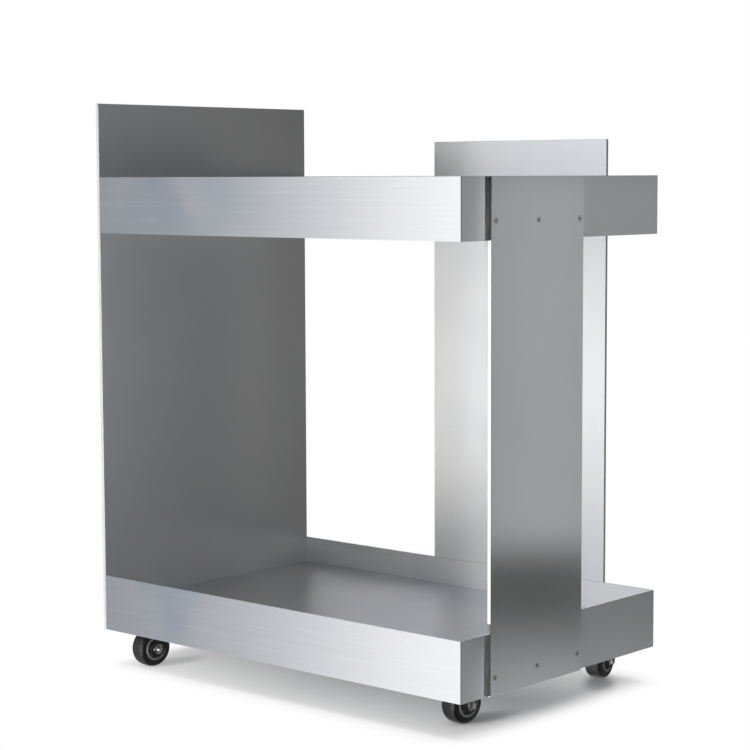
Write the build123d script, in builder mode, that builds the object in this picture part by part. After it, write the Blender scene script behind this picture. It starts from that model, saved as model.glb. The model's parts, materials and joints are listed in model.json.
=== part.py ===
from build123d import *
import os
from math import sqrt

# Two-tier serving trolley of brushed aluminium sheet on four swivel castors.
# Sizes are in millimetres. The origin is on the ground under the middle of the trolley,
# with +X along the trays to the right, +Y to the back and +Z up.

os.makedirs("parts", exist_ok=True)

# Trays
tray_length = 625.0  # left panel's inner face to the end wall's outer face
tray_depth = 400.0  # over the front and back walls
tray_pitch = 540.5  # lower tray to upper tray
lip_height = 37.0  # rim above the tray's floor
pan_height = 38.0  # tray's floor above the lower edge of the walls
wall_thickness = 2.0
pan_thickness = 2.0
pan_bend = 1.0  # inside radius of the folded flanges
pan_relief = 6.0  # square cut where two flanges meet
flange_gap = 10.0  # lower edge of the walls to the lower edge of the flanges
corner_break = 0.6  # flat ground on each welded corner
edge_break = 0.4  # chamfer on cut sheet edges

# Panels
end_panel_thickness = 5.0  # left and right
rear_panel_thickness = 4.0
left_panel_rise = 98.0  # above the upper rim
rear_panel_rise = 47.5  # above the upper rim
rear_panel_width = 294.0
rear_panel_gap = 80.5  # panel's edge to the right end of the trays
right_panel_width = 182.0
right_panel_gap = 49.5  # front of the trays to the panel's edge

# Panel screws, countersunk with a hexagon socket, and their nuts
screw_diameter = 4.0
screw_head_diameter = 7.8
screw_head_sink = 0.1  # head below the panel's face
screw_socket = 2.5  # across flats
screw_socket_depth = 1.4
screw_stub = 1.5  # thread past the nut
screw_nut_width = 7.0  # across flats
screw_nut_height = 3.2
left_screw_count = 4
left_screw_edge = 20.0  # outer screws to the panel's edges
rear_screw_count = 3
rear_screw_edge = 20.0
right_screw_count = 3
right_screw_edge = 8.0

# Castor rails under the lower tray
rail_thickness = 2.5
rail_bend = 1.0  # inside radius
rail_headroom = 2.0  # castor bolts to the tray's pan
rail_margin = 2.5  # castor plate's edge to the inside of the rail's leg
rail_end_gap = 1.5  # panel screws to the rail's ends
castor_inset_x = 61.5  # ends of the trays to the kingpin
castor_inset_y = 51.0  # front and back of the trays to the kingpin

# Castor wheel
wheel_diameter = 50.0
tyre_width = 25.0
tyre_crown = 0.5  # fall of the tread from its middle to its edges
tyre_shoulder = 6.4  # radius between tread and side
tyre_shoulder_gap = 1.2  # flat side left between the shoulder and the core
core_diameter = 31.8  # seat of the tyre
core_lip = 2.8  # height of the rim ring, seen from the side
core_lip_rise = 0.8  # rim ring past the side of the tyre
core_lip_slope = 0.9  # width of the bevels on the rim ring
core_web = 8.0
hub_diameter = 15.0
hub_rise = 1.0  # hub past the side of the tyre
sleeve_diameter = 10.0

# Castor fork, pressed from sheet
trail = 22.5  # kingpin to axle, seen from above
wheel_gap = 3.1  # tyre to the fork's crown
fork_thickness = 2.5
fork_bend = 1.5  # inside radius
fork_hub_gap = 0.5  # hub to each leg
leg_end_radius = 10.5
leg_edge_radius = 0.6  # rounding of the legs' outer edges
crown_length = 34.0  # legs at the crown, along the trail
dish_gap = 2.4  # bearing ring to the rim around it
dish_height = 5.0

# Castor swivel and top plate
bearing_outer_diameter = 36.0
bearing_inner_diameter = 24.0
bearing_height = 5.4
bearing_chamfer = 0.8
bearing_play = 0.3  # bearing ring to the fork and to the plate
cup_overlap = 0.5  # cup's bottom past the bearing ring
cup_flare = 2.5
cup_depth = 7.5
plate_edge = 8.0  # bolt holes to the plate's edge
plate_corner = 6.0
plate_thickness = 2.5
kingpin_diameter = 8.0
kingpin_head_diameter = 15.0
kingpin_head_height = 2.5
kingpin_chamfer = 1.2
swivel_play = 0.3  # crown to the kingpin's head

# Hexagon bolts of the castors and axles
bolt_diameter = 6.0
bolt_width = 10.0  # across flats
bolt_head_height = 4.0
bolt_nut_height = 5.0
bolt_stub = 1.0  # thread past the nut
bolt_dish_gap = 2.5  # castor bolts' corners to the fork's dish
axle_flange_diameter = 14.2  # washer faces of the axle bolt and nut
axle_flange_height = 1.5

# Fits, all radial
bolt_clearance = 0.25
thread_clearance = 0.05
running_clearance = 0.05
bond_clearance = 0.03

# Where the four castors have swivelled to, as the heading of the trail
castor_headings = {
    "front_left": -97.8,
    "front_right": 83.3,
    "rear_left": 84.0,
    "rear_right": 101.1,
}

# Heights, stacked up from the ground
axle_height = wheel_diameter / 2
crown_bottom = wheel_diameter + wheel_gap
crown_top = crown_bottom + fork_thickness
cup_bottom = crown_top + bearing_height + 2 * bearing_play
plate_bottom = cup_bottom + cup_depth
plate_top = plate_bottom + plate_thickness
rail_depth = rail_thickness + bolt_nut_height + bolt_stub + rail_headroom
lower_pan_top = plate_top + rail_depth + pan_thickness
lower_skirt = lower_pan_top - pan_height
upper_skirt = lower_skirt + tray_pitch
wall_height = pan_height + lip_height
upper_rim = upper_skirt + wall_height
tray_skirts = {"lower": lower_skirt, "upper": upper_skirt}

# Plan of the trays
tray_left = -tray_length / 2
tray_right = tray_length / 2
tray_front = -(tray_depth + rear_panel_thickness) / 2
tray_back = tray_front + tray_depth
pan_length = tray_length - wall_thickness
pan_depth = tray_depth - 2 * wall_thickness
pan_center_x = tray_left + pan_length / 2
pan_center_y = (tray_front + tray_back) / 2
flange_height = pan_height - flange_gap

# Screw rows, one on each tray, halfway up the flanges
screw_hole_radius = screw_diameter / 2 + bolt_clearance
screw_row_height = flange_gap + (flange_height - pan_thickness) / 2
screw_rows_middle = lower_skirt + screw_row_height + tray_pitch / 2


class ScrewSide:
    """Screws of one panel: a plane on its outer face, two rows of equal pitch, and what they clamp."""

    def __init__(self, plane, width, edge, count, panel, wall):
        self.plane = plane
        self.pitch = (width - 2 * edge) / (count - 1)
        self.count = count
        self.panel = panel
        self.grip = panel + wall + pan_thickness

    def grid(self):
        return GridLocations(self.pitch, tray_pitch, self.count, 2)


left_side = ScrewSide(
    Plane((tray_left - end_panel_thickness, pan_center_y, screw_rows_middle), (0, -1, 0), (-1, 0, 0)),
    tray_depth,
    left_screw_edge,
    left_screw_count,
    end_panel_thickness,
    0,
)
rear_panel_x = tray_right - rear_panel_gap - rear_panel_width / 2
rear_side = ScrewSide(
    Plane((rear_panel_x, tray_back + rear_panel_thickness, screw_rows_middle), (-1, 0, 0), (0, 1, 0)),
    rear_panel_width,
    rear_screw_edge,
    rear_screw_count,
    rear_panel_thickness,
    wall_thickness,
)
right_panel_y = tray_front + right_panel_gap + right_panel_width / 2
right_side = ScrewSide(
    Plane((tray_right + end_panel_thickness, right_panel_y, screw_rows_middle), (0, 1, 0), (1, 0, 0)),
    right_panel_width,
    right_screw_edge,
    right_screw_count,
    end_panel_thickness,
    wall_thickness,
)
screw_sides = (left_side, rear_side, right_side)


def save(part, name):
    part.label = name
    export_step(part, f"parts/{name}.step")


# Tray walls, mitred at the right-hand corners and butted against the left panel
for tray, skirt in tray_skirts.items():
    for wall, outer_y, inward in (("front", tray_front, 1), ("back", tray_back, -1)):
        with BuildPart() as long_wall:
            with BuildSketch(Plane.XY.offset(skirt)):
                with BuildLine():
                    Polyline(
                        (tray_left, outer_y),
                        (tray_right - corner_break, outer_y),
                        (tray_right - corner_break / 2, outer_y + inward * corner_break / 2),
                        (tray_right - wall_thickness, outer_y + inward * wall_thickness),
                        (tray_left, outer_y + inward * wall_thickness),
                        close=True,
                    )
                make_face()
            extrude(amount=wall_height)
            chamfer(long_wall.faces().sort_by(Axis.Z)[-1].edges().filter_by(Axis.X), edge_break)
            if wall == "back":
                with Locations(rear_side.plane):
                    with rear_side.grid():
                        Hole(screw_hole_radius, depth=rear_side.grip)
        save(long_wall.part, f"{tray}_{wall}_wall")

    with BuildPart() as end_wall:
        with BuildSketch(Plane.XY.offset(skirt)):
            with BuildLine():
                Polyline(
                    (tray_right - corner_break / 2, tray_front + corner_break / 2),
                    (tray_right, tray_front + corner_break),
                    (tray_right, tray_back - corner_break),
                    (tray_right - corner_break / 2, tray_back - corner_break / 2),
                    (tray_right - wall_thickness, tray_back - wall_thickness),
                    (tray_right - wall_thickness, tray_front + wall_thickness),
                    close=True,
                )
            make_face()
        extrude(amount=wall_height)
        chamfer(end_wall.faces().sort_by(Axis.Z)[-1].edges().filter_by(Axis.Y), edge_break)
        with Locations(right_side.plane):
            with right_side.grid():
                Hole(screw_hole_radius, depth=right_side.grip)
    save(end_wall.part, f"{tray}_end_wall")

# Tray pans: a sheet with four flanges folded down behind the walls and the left panel
for tray, skirt in tray_skirts.items():
    with BuildPart() as pan:
        with Locations((pan_center_x, pan_center_y, skirt + pan_height)):
            Box(pan_length, pan_depth, flange_height, align=(Align.CENTER, Align.CENTER, Align.MAX))
        fillet(pan.faces().sort_by(Axis.Z)[-1].edges(), pan_bend + pan_thickness)
        offset(amount=-pan_thickness, openings=pan.faces().sort_by(Axis.Z)[0])
        with Locations((pan_center_x, pan_center_y, skirt + flange_gap)):
            with GridLocations(pan_length - pan_relief, pan_depth - pan_relief, 2, 2):
                Box(
                    pan_relief,
                    pan_relief,
                    flange_height - pan_thickness - pan_bend,
                    align=(Align.CENTER, Align.CENTER, Align.MIN),
                    mode=Mode.SUBTRACT,
                )
        for side in screw_sides:
            with Locations(side.plane):
                with side.grid():
                    Hole(screw_hole_radius, depth=side.grip)
    save(pan.part, f"{tray}_pan")

# Panels: plates with countersunk holes, all level with the lower tray's lower edge
panel_outlines = {
    "left": (left_side, tray_depth, upper_rim + left_panel_rise - lower_skirt),
    "rear": (rear_side, rear_panel_width, upper_rim + rear_panel_rise - lower_skirt),
    "right": (right_side, right_panel_width, upper_rim - lower_skirt),
}
for panel_name, (side, width, height) in panel_outlines.items():
    with BuildPart(side.plane) as panel:
        with Locations((0, lower_skirt - screw_rows_middle, 0)):
            Box(width, height, side.panel, align=(Align.CENTER, Align.MIN, Align.MAX))
        chamfer(panel.edges(), edge_break)
        with side.grid():
            CounterSinkHole(screw_hole_radius, screw_head_diameter / 2 + bolt_clearance, side.panel)
    save(panel.part, f"{panel_name}_panel")

# Panel screws: a flush cone head with a hexagon socket on a plain shank
screw_head_radius = screw_head_diameter / 2
screw_head_height = screw_head_radius - screw_diameter / 2
with BuildPart() as panel_screws:
    for side in screw_sides:
        with Locations(side.plane.offset(-screw_head_sink)):
            with side.grid():
                Cone(
                    screw_diameter / 2,
                    screw_head_radius,
                    screw_head_height,
                    align=(Align.CENTER, Align.CENTER, Align.MAX),
                )
                Cylinder(
                    screw_diameter / 2,
                    side.grip + screw_nut_height + screw_stub - screw_head_sink,
                    align=(Align.CENTER, Align.CENTER, Align.MAX),
                )
        with BuildSketch(side.plane.offset(-screw_head_sink)):
            with side.grid():
                RegularPolygon(screw_socket / 2, 6, major_radius=False)
        extrude(amount=-screw_socket_depth, mode=Mode.SUBTRACT)
save(panel_screws.part, "panel_screws")

# Panel nuts, tightened against the flanges from inside
with BuildPart() as panel_nuts:
    for side in screw_sides:
        with BuildSketch(side.plane.offset(-side.grip)):
            with side.grid():
                RegularPolygon(screw_nut_width / 2, 6, major_radius=False)
                Circle(screw_diameter / 2 + thread_clearance, mode=Mode.SUBTRACT)
        extrude(amount=-screw_nut_height)
save(panel_nuts.part, "panel_nuts")

# Castor places and the bolt pattern of their plates
dish_radius = bearing_outer_diameter / 2 + dish_gap + fork_thickness
bolt_corner_radius = bolt_width / sqrt(3)
bolt_pitch = sqrt(2) * (dish_radius + bolt_dish_gap + bolt_corner_radius)
plate_size = bolt_pitch + 2 * plate_edge
castor_xs = {"left": tray_left + castor_inset_x, "right": tray_right - castor_inset_x}
castor_ys = {"front": tray_front + castor_inset_y, "rear": tray_back - castor_inset_y}
castor_bolt_radius = bolt_diameter / 2 + bolt_clearance

# Castor rails: channels welded by their legs to the underside of the lower pan
rail_width = plate_size + 2 * (rail_margin + rail_thickness)
rail_setback = wall_thickness + pan_thickness + screw_nut_height + screw_stub + rail_end_gap
rail_start = tray_front + rail_setback
rail_end = tray_back - rail_setback
for end, castor_x in castor_xs.items():
    with BuildPart() as rail:
        with BuildSketch(Plane((castor_x, rail_start, plate_top), (1, 0, 0), (0, -1, 0))) as section:
            Rectangle(rail_width, rail_depth, align=(Align.CENTER, Align.MIN))
            fillet(section.vertices().group_by(Axis.Y)[0], rail_bend + rail_thickness)
            with Locations((0, rail_thickness)):
                Rectangle(
                    rail_width - 2 * rail_thickness,
                    rail_depth,
                    align=(Align.CENTER, Align.MIN),
                    mode=Mode.SUBTRACT,
                )
        extrude(amount=rail_start - rail_end)
        for castor_y in castor_ys.values():
            with Locations((castor_x, castor_y, plate_top + rail_thickness)):
                with GridLocations(bolt_pitch, bolt_pitch, 2, 2):
                    Hole(castor_bolt_radius, depth=rail_thickness)
    save(rail.part, f"{end}_castor_rail")

# Castor bolts, up through plates and rails
bolt_grip = plate_thickness + rail_thickness
with BuildPart() as castor_bolts:
    for castor_x in castor_xs.values():
        for castor_y in castor_ys.values():
            with BuildSketch(Plane((castor_x, castor_y, plate_bottom))):
                with GridLocations(bolt_pitch, bolt_pitch, 2, 2):
                    RegularPolygon(bolt_width / 2, 6, major_radius=False)
            extrude(amount=-bolt_head_height)
            with BuildSketch(Plane((castor_x, castor_y, plate_bottom))):
                with GridLocations(bolt_pitch, bolt_pitch, 2, 2):
                    Circle(bolt_diameter / 2)
            extrude(amount=bolt_grip + bolt_nut_height + bolt_stub)
save(castor_bolts.part, "castor_bolts")

# Castor nuts, inside the rails
with BuildPart() as castor_nuts:
    for castor_x in castor_xs.values():
        for castor_y in castor_ys.values():
            with BuildSketch(Plane((castor_x, castor_y, plate_bottom + bolt_grip))):
                with GridLocations(bolt_pitch, bolt_pitch, 2, 2):
                    RegularPolygon(bolt_width / 2, 6, major_radius=False)
                    Circle(bolt_diameter / 2 + thread_clearance, mode=Mode.SUBTRACT)
            extrude(amount=bolt_nut_height)
save(castor_nuts.part, "castor_nuts")

# One castor, modelled with its kingpin on the Z axis and its trail along +X
wheel_center = (trail, 0, axle_height)
wheel_section = Plane(wheel_center, (0, 1, 0), (1, 0, 0))
axle_plane = Plane(wheel_center, (1, 0, 0), (0, 1, 0))
axle = Axis(wheel_center, (0, 1, 0))
hub_side = tyre_width / 2 + hub_rise
leg_inside = hub_side + fork_hub_gap
leg_outside = leg_inside + fork_thickness
fork_reach = trail + leg_end_radius + crown_length
kingpin_radius = kingpin_diameter / 2
kingpin_head_radius = kingpin_head_diameter / 2

# Top plate with a cup pressed down over the bearing ring
cup_radius = bearing_outer_diameter / 2 + cup_overlap
cup_rim = cup_radius + cup_flare
with BuildPart() as castor_plate:
    with BuildSketch(Plane.XY.offset(plate_bottom)):
        RectangleRounded(plate_size, plate_size, plate_corner)
        with GridLocations(bolt_pitch, bolt_pitch, 2, 2):
            Circle(castor_bolt_radius, mode=Mode.SUBTRACT)
        Circle(cup_rim - plate_thickness / 2, mode=Mode.SUBTRACT)
    extrude(amount=plate_thickness)
    with BuildSketch(Plane.XZ):
        with BuildLine():
            Polyline(
                (kingpin_radius + thread_clearance, cup_bottom),
                (cup_radius, cup_bottom),
                (cup_rim, plate_bottom),
                (cup_rim, plate_top),
                (cup_rim - plate_thickness, plate_top),
                (cup_radius - plate_thickness, cup_bottom + plate_thickness),
                (kingpin_radius + thread_clearance, cup_bottom + plate_thickness),
                close=True,
            )
        make_face()
    revolve(axis=Axis.Z)

# Kingpin, riveted over inside the cup
with BuildPart() as kingpin:
    with BuildSketch(Plane.XZ):
        with BuildLine():
            head_top = crown_bottom - swivel_play
            rivet_bottom = cup_bottom + plate_thickness
            Polyline(
                (0, head_top - kingpin_head_height),
                (kingpin_head_radius - kingpin_chamfer, head_top - kingpin_head_height),
                (kingpin_head_radius, head_top - kingpin_head_height + kingpin_chamfer),
                (kingpin_head_radius, head_top),
                (kingpin_radius, head_top),
                (kingpin_radius, rivet_bottom),
                (kingpin_head_radius, rivet_bottom),
                (kingpin_head_radius, rivet_bottom + kingpin_head_height - kingpin_chamfer),
                (kingpin_head_radius - kingpin_chamfer, rivet_bottom + kingpin_head_height),
                (0, rivet_bottom + kingpin_head_height),
                close=True,
            )
        make_face()
    revolve(axis=Axis.Z)

# Bearing ring between the fork's dish and the plate's cup
with BuildPart() as bearing_ring:
    with BuildSketch(Plane.XY.offset(crown_top + bearing_play)):
        Circle(bearing_outer_diameter / 2)
        Circle(bearing_inner_diameter / 2, mode=Mode.SUBTRACT)
    extrude(amount=bearing_height)
    chamfer(bearing_ring.edges().filter_by(GeomType.CIRCLE), bearing_chamfer)

# Fork: a bent channel trimmed to the legs' outline, under a dish for the bearing ring
with BuildPart() as castor_fork:
    with BuildSketch(Plane.XZ):
        with Locations((trail, axle_height)):
            Circle(leg_end_radius)
        with Locations((0, crown_bottom)):
            Rectangle(crown_length, fork_thickness, align=(Align.CENTER, Align.MIN))
        make_hull()
    extrude(amount=leg_outside, both=True)
    with BuildSketch(Plane.YZ) as outside:
        Rectangle(2 * leg_outside, crown_top, align=(Align.CENTER, Align.MIN))
        fillet(outside.vertices().group_by(Axis.Y)[-1], fork_bend + fork_thickness)
    extrude(amount=fork_reach, both=True, mode=Mode.INTERSECT)
    with BuildSketch(Plane.YZ) as inside:
        Rectangle(2 * leg_inside, crown_bottom, align=(Align.CENTER, Align.MIN))
        fillet(inside.vertices().group_by(Axis.Y)[-1], fork_bend)
    extrude(amount=fork_reach, both=True, mode=Mode.SUBTRACT)
    leg_faces = castor_fork.faces().filter_by(Axis.Y).sort_by(Axis.Y)
    outer_edges = leg_faces[0].edges() + leg_faces[-1].edges()
    fillet(outer_edges.filter_by(Axis.X, reverse=True), leg_edge_radius)
    with BuildSketch(Plane.XZ):
        with BuildLine():
            Polyline(
                (0, crown_bottom),
                (dish_radius - fork_thickness, crown_bottom),
                (dish_radius, crown_top),
                (dish_radius, crown_top + dish_height),
                (dish_radius - fork_thickness, crown_top + dish_height),
                (dish_radius - fork_thickness, crown_top),
                (0, crown_top),
                close=True,
            )
        make_face()
    revolve(axis=Axis.Z)
    with Locations((0, 0, crown_top)):
        Hole(kingpin_radius + running_clearance, depth=fork_thickness)
    with Locations(axle_plane.offset(leg_outside)):
        Hole(castor_bolt_radius, depth=2 * leg_outside)

# Axle bolt with a flanged head, from the fork's right side when seen from behind
axle_flange_radius = axle_flange_diameter / 2
with BuildPart() as axle_bolt:
    with BuildSketch(axle_plane.offset(-leg_outside)):
        RegularPolygon(bolt_width / 2, 6, major_radius=False)
    extrude(amount=-bolt_head_height)
    with BuildSketch(axle_plane.offset(-leg_outside)):
        Circle(axle_flange_radius)
    extrude(amount=-axle_flange_height)
    with BuildSketch(axle_plane.offset(-leg_outside)):
        Circle(bolt_diameter / 2)
    extrude(amount=2 * leg_outside + bolt_nut_height + bolt_stub)

# Axle nut, flanged too
with BuildPart() as axle_nut:
    with BuildSketch(axle_plane.offset(leg_outside)):
        RegularPolygon(bolt_width / 2, 6, major_radius=False)
    extrude(amount=bolt_nut_height)
    with BuildSketch(axle_plane.offset(leg_outside)):
        Circle(axle_flange_radius)
    extrude(amount=axle_flange_height)
    with Locations(axle_plane.offset(leg_outside + bolt_nut_height)):
        Hole(bolt_diameter / 2 + thread_clearance, depth=bolt_nut_height)

# Axle sleeve, clamped between the legs
with BuildPart() as axle_sleeve:
    with BuildSketch(axle_plane):
        Circle(sleeve_diameter / 2)
        Circle(bolt_diameter / 2 + thread_clearance, mode=Mode.SUBTRACT)
    extrude(amount=leg_inside, both=True)

# Wheel core: hub, web and rim, turned about the axle
core_radius = core_diameter / 2
core_side = tyre_width / 2 + core_lip_rise
with BuildPart() as wheel_core:
    with BuildSketch(wheel_section):
        with BuildLine():
            Polyline(
                (0, sleeve_diameter / 2 + running_clearance),
                (hub_side, sleeve_diameter / 2 + running_clearance),
                (hub_side, hub_diameter / 2),
                (core_web / 2, hub_diameter / 2),
                (core_web / 2, core_radius - core_lip),
                (tyre_width / 2, core_radius - core_lip),
                (core_side, core_radius - core_lip + core_lip_slope),
                (core_side, core_radius - core_lip_slope),
                (tyre_width / 2, core_radius),
                (0, core_radius),
                close=True,
            )
        make_face()
        mirror(about=Plane.YZ)
    revolve(axis=axle)

# Tyre, with a slightly crowned tread and round shoulders
tread_edge = wheel_diameter / 2 - tyre_crown
shoulder_limit = tread_edge - core_radius - tyre_shoulder_gap
with BuildPart() as tyre:
    with BuildSketch(wheel_section) as tyre_section:
        with BuildLine():
            ThreePointArc(
                (-tyre_width / 2, tread_edge),
                (0, wheel_diameter / 2),
                (tyre_width / 2, tread_edge),
            )
            Polyline(
                (tyre_width / 2, tread_edge),
                (tyre_width / 2, core_radius + bond_clearance),
                (-tyre_width / 2, core_radius + bond_clearance),
                (-tyre_width / 2, tread_edge),
            )
        make_face()
        fillet(tyre_section.vertices().group_by(Axis.Y)[-1], min(tyre_shoulder, shoulder_limit))
    revolve(axis=axle)

# The four castors: plates stay square to the trays, the rest has swivelled
fixed_pieces = {"plate": castor_plate, "kingpin": kingpin}
swivelled_pieces = {
    "bearing_ring": bearing_ring,
    "fork": castor_fork,
    "axle_bolt": axle_bolt,
    "axle_nut": axle_nut,
    "axle_sleeve": axle_sleeve,
    "wheel_core": wheel_core,
    "tyre": tyre,
}
for corner, heading in castor_headings.items():
    row, end = corner.split("_")
    place = (castor_xs[end], castor_ys[row], 0)
    for piece_name, piece in fixed_pieces.items():
        save(piece.part.moved(Location(place)), f"{corner}_{piece_name}")
    for piece_name, piece in swivelled_pieces.items():
        save(piece.part.moved(Location(place, (0, 0, heading))), f"{corner}_{piece_name}")
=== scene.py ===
"""Looks, studio and camera for a serving trolley in brushed aluminium."""

import json
import math

import bmesh
import bpy
from bpy.props import FloatProperty, FloatVectorProperty, PointerProperty
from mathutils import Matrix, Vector


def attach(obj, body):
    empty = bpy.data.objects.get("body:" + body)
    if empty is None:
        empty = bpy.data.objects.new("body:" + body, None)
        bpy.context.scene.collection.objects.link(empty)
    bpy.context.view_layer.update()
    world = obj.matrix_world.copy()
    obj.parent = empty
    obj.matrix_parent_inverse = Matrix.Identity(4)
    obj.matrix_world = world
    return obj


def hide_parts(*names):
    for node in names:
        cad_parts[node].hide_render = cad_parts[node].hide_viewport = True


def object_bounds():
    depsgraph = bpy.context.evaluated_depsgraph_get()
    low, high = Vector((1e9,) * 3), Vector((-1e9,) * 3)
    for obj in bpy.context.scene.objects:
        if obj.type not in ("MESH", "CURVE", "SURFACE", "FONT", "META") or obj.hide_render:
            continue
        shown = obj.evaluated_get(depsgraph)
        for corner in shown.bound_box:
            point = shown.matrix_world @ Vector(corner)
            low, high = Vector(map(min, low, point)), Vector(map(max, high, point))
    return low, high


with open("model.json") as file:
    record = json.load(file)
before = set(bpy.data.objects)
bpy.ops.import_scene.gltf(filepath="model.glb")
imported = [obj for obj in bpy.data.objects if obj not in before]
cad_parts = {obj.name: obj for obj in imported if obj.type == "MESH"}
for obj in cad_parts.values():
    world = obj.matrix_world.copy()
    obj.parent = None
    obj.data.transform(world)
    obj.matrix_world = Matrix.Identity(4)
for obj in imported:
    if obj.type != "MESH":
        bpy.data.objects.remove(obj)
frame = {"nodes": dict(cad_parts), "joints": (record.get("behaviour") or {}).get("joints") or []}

bl_info = {
    "name": "Serving Trolley",
    "version": (1, 0, 0),
    "blender": (4, 5, 0),
    "location": "View3D > Sidebar > Trolley",
    "description": "Finishes a serving trolley in brushed aluminium and sets up its studio",
    "category": "Object",
}

CAD_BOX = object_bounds()
CORNERS = ("front_left", "front_right", "rear_left", "rear_right")
LONG_WALLS = ("lower_front_wall", "lower_back_wall", "upper_front_wall", "upper_back_wall")
END_WALLS = ("lower_end_wall", "upper_end_wall")
PANS = ("lower_pan", "upper_pan")
RAILS = ("left_castor_rail", "right_castor_rail")
JOINTS = {joint["name"]: joint for joint in frame["joints"]}
UP = Vector((0.0, 0.0, 1.0))
DOWN = Vector((0.0, 0.0, -1.0))
WHITE = (1.0, 1.0, 1.0, 1.0)


def length_setting(**details):
    """A length that a user can change."""
    return FloatProperty(unit="LENGTH", **details)


def colour_setting(**details):
    """A colour that a user can change."""
    return FloatVectorProperty(subtype="COLOR", min=0.0, max=1.0, **details)


class TrolleySheet(bpy.types.PropertyGroup):
    """Finish of the aluminium sheets."""

    colour: colour_setting(
        name="Aluminium", description="Colour of the brushed sheet", default=(0.83, 0.84, 0.855)
    )
    # Handling marks are real, but the blue of their tint is a painted reflection.
    smudge_and_reflection_tint: colour_setting(
        name="Smudges", description="Tint of the cloudy handling marks", default=(0.6, 0.68, 0.76)
    )
    roughness: FloatProperty(
        name="Roughness",
        description="How far the brushing spreads a reflection",
        subtype="FACTOR",
        default=0.27,
        min=0.0,
        max=1.0,
    )
    line_width: length_setting(
        name="Line Width", description="Width of a brush line", default=0.001, min=0.0001
    )
    line_length: length_setting(
        name="Line Length", description="Length of a brush line", default=0.1, min=0.001
    )
    smudge_size: length_setting(
        name="Smudge Size",
        description="Size of the cloudy handling marks",
        default=0.11,
        min=0.001,
    )


class TrolleyFasteners(bpy.types.PropertyGroup):
    """Details of the screws, bolts and nuts that the solids leave plain."""

    screw_thread: length_setting(
        name="Screw Thread", description="Thread of the panel screws", default=0.004, min=0.001
    )
    screw_pitch: length_setting(
        name="Screw Pitch", description="Pitch of the panel screws", default=0.0007, min=0.0001
    )
    screw_socket: length_setting(
        name="Screw Socket", description="Hexagon socket across flats", default=0.0025, min=0.0005
    )
    socket_depth: length_setting(
        name="Socket Depth", description="Depth of the hexagon socket", default=0.0018, min=0.0002
    )
    bolt_thread: length_setting(
        name="Bolt Thread",
        description="Thread of the castor and axle bolts",
        default=0.006,
        min=0.001,
    )
    bolt_pitch: length_setting(
        name="Bolt Pitch",
        description="Pitch of the castor and axle bolts",
        default=0.001,
        min=0.0001,
    )
    bolt_width: length_setting(
        name="Bolt Width", description="Bolt heads and nuts across flats", default=0.01, min=0.001
    )
    head_height: length_setting(
        name="Head Height", description="Height of the bolt heads", default=0.004, min=0.0005
    )
    axle_flange: length_setting(
        name="Axle Flange", description="Diameter of the axle flanges", default=0.0142, min=0.001
    )
    flange_height: length_setting(
        name="Flange Height", description="Height of the axle flanges", default=0.0015, min=0.0001
    )
    steel: colour_setting(
        name="Screw Steel", description="Colour of the panel screws", default=(0.68, 0.68, 0.67)
    )
    zinc: colour_setting(
        name="Zinc", description="Colour of the plated bolts and nuts", default=(0.58, 0.585, 0.59)
    )


class TrolleyCastors(bpy.types.PropertyGroup):
    """Finish of the castors."""

    tyre: colour_setting(
        name="Tyre", description="Colour of the rubber tyre", default=(0.016, 0.016, 0.017)
    )
    core: colour_setting(
        name="Wheel Core",
        description="Colour of the moulded wheel core",
        default=(0.28, 0.285, 0.29),
    )
    fork: colour_setting(
        name="Fork", description="Colour of the coated steel fork", default=(0.012, 0.012, 0.013)
    )
    bearing: colour_setting(
        name="Bearing Ring",
        description="Colour of the ring between the plate and the fork",
        default=(0.62, 0.62, 0.58),
    )


class TrolleyStudio(bpy.types.PropertyGroup):
    """Camera, floor and light."""

    camera_place: FloatVectorProperty(
        name="Camera Place",
        description="Where the camera stands",
        subtype="TRANSLATION",
        unit="LENGTH",
        default=(1.8138, -2.0448, 0.6626),
    )
    camera_turn: FloatVectorProperty(
        name="Camera Turn",
        description="Pitch, roll and yaw of the camera",
        subtype="EULER",
        unit="ROTATION",
        default=(math.radians(84.502), math.radians(0.1935), math.radians(41.537)),
    )
    lens: FloatProperty(
        name="Lens",
        description="Focal length on a 36 mm frame",
        unit="CAMERA",
        default=99.49,
        min=1.0,
    )
    floor: colour_setting(
        name="Floor", description="Colour of the floor where it is lit", default=(0.95, 0.95, 0.95)
    )
    key_power: FloatProperty(
        name="Key Power",
        description="Power of the soft lamp overhead",
        unit="POWER",
        default=80.0,
        min=0.0,
    )
    fill: FloatProperty(
        name="Fill",
        description="Strength of the soft light from all round",
        default=0.6,
        min=0.0,
    )


def feed(tree, socket, value):
    """Links an input to another node's output, or sets it to a plain value."""
    if isinstance(value, bpy.types.NodeSocket):
        tree.links.new(value, socket)
    else:
        socket.default_value = value


def add_node(tree, kind, inputs=None, **settings):
    """A node of that kind, with its settings, and with values or links on its inputs."""
    made = tree.nodes.new(kind)
    for name, value in settings.items():
        setattr(made, name, value)
    for name, value in (inputs or {}).items():
        feed(tree, made.inputs[name], value)
    return made


def result_of(tree, kind, inputs=None, **settings):
    """The first output of such a node."""
    return add_node(tree, kind, inputs, **settings).outputs[0]


def calculate(tree, operation, *values):
    """The result of a Math node."""
    return result_of(tree, "ShaderNodeMath", dict(enumerate(values)), operation=operation)


def measure(tree, operation, *vectors):
    """The outputs of a Vector Math node."""
    inputs = dict(enumerate(vectors))
    return add_node(tree, "ShaderNodeVectorMath", inputs, operation=operation).outputs


def axes_of(tree, vector):
    """The three parts of a vector."""
    return add_node(tree, "ShaderNodeSeparateXYZ", {0: vector}).outputs


def ramped(tree, value, start, end, low=0.0, high=1.0, kind="LINEAR"):
    """Low up to start, high from end, and a straight way between."""
    return result_of(
        tree,
        "ShaderNodeMapRange",
        {"Value": value, "From Min": start, "From Max": end, "To Min": low, "To Max": high},
        interpolation_type=kind,
    )


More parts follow.
